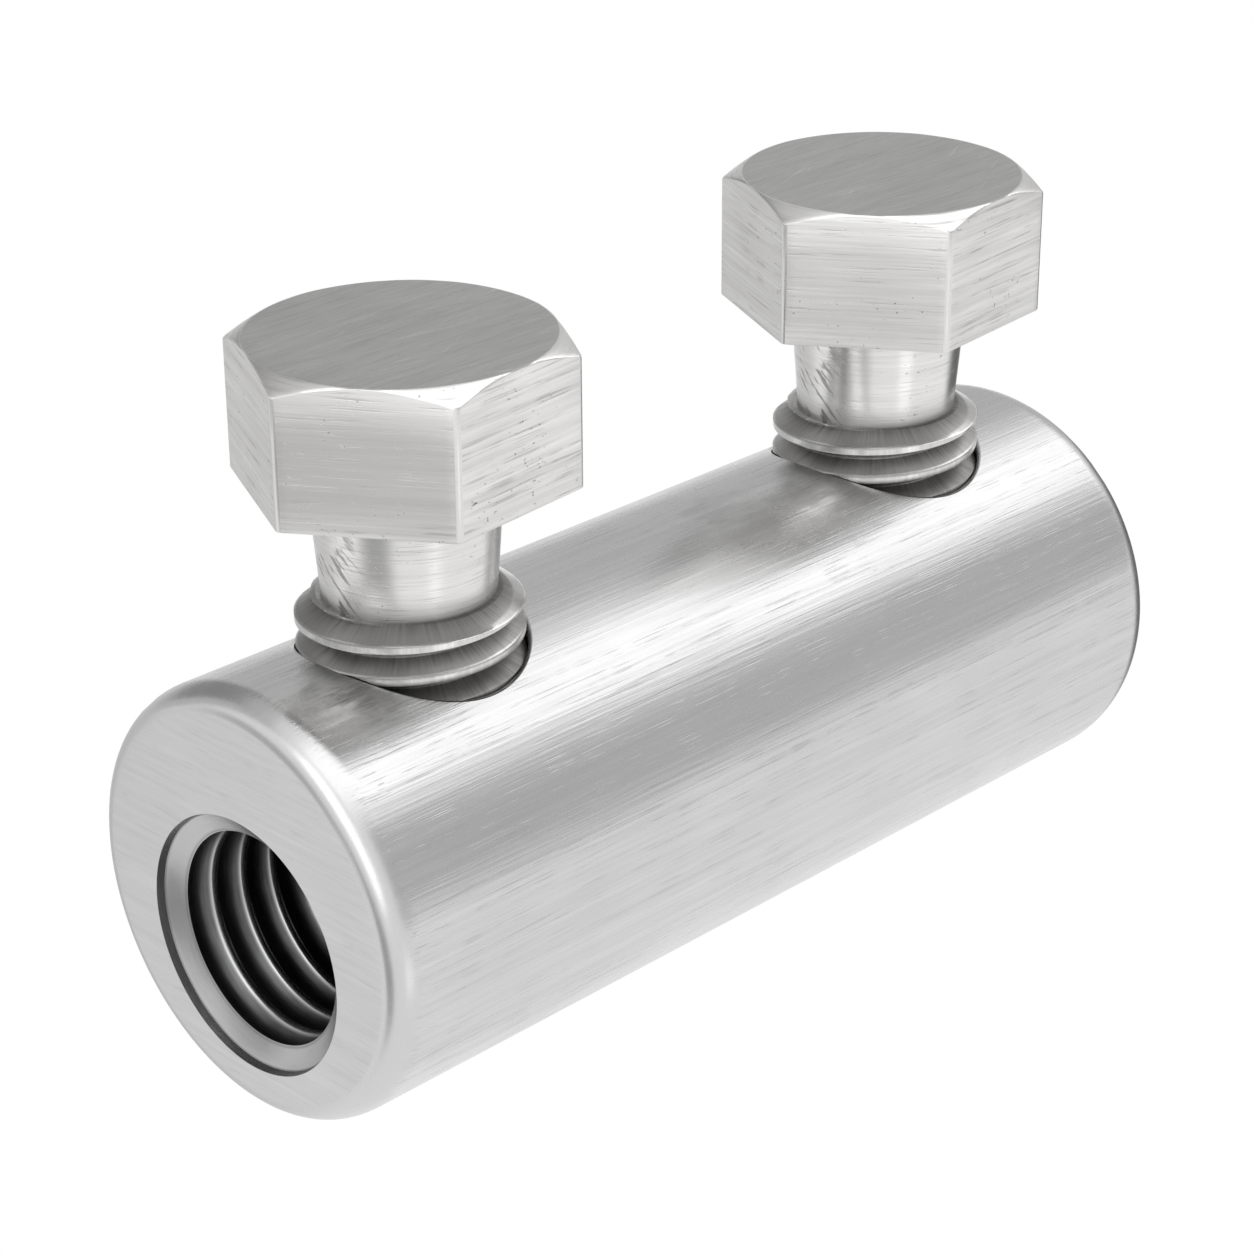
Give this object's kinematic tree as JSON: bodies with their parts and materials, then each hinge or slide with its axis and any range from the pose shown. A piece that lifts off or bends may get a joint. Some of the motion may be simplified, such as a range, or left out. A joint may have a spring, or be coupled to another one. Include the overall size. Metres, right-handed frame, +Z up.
{
  "type": "shear bolt connector",
  "caption": "Round metal barrel with a grooved blind bore in each end and hexagon-headed shear bolts screwed in from above, for joining stranded conductors.",
  "frame": {"origin": "below the middle of the round body, at the height of its underside", "axes": "+X along the body from the near end to the far end, +Z up along the two bolts"},
  "size_m": [0.061, 0.024, 0.0402],
  "materials": {
    "tinned_body": "tinned, brushed lengthwise, satin",
    "turned_bolt": "turned and brushed, with fine scratches",
    "pressure_pad": "turned, tinned"
  },
  "bodies": {
    "body": {"connector_body": "tinned_body"},
    "near_pad": {"near_pressure_pad": "pressure_pad"},
    "near_bolt": {"near_shear_bolt": "turned_bolt"},
    "far_pad": {"far_pressure_pad": "pressure_pad"},
    "far_bolt": {"far_shear_bolt": "turned_bolt"}
  },
  "joints": [
    {"name": "near_bolt_travel", "type": "slide", "parent": "body", "child": "near_pad", "axis": [0, 0, 1], "range_m": [-0.007, 0.00263]},
    {"name": "near_bolt_turn", "type": "hinge", "parent": "near_pad", "child": "near_bolt", "pos_m": [-0.0184, 0, 0.0402], "axis": [0, 0, 1], "range_deg": [-1440, 540]},
    {"name": "far_bolt_travel", "type": "slide", "parent": "body", "child": "far_pad", "axis": [0, 0, 1], "range_m": [-0.007, 0.00263]},
    {"name": "far_bolt_turn", "type": "hinge", "parent": "far_pad", "child": "far_bolt", "pos_m": [0.0184, 0, 0.0402], "axis": [0, 0, 1], "range_deg": [-1440, 540]}
  ],
  "couplings": [
    {"joint": "near_bolt_turn", "follows": "near_bolt_travel", "rad_per_m": 3590.4},
    {"joint": "far_bolt_turn", "follows": "far_bolt_travel", "rad_per_m": 3590.4}
  ]
}
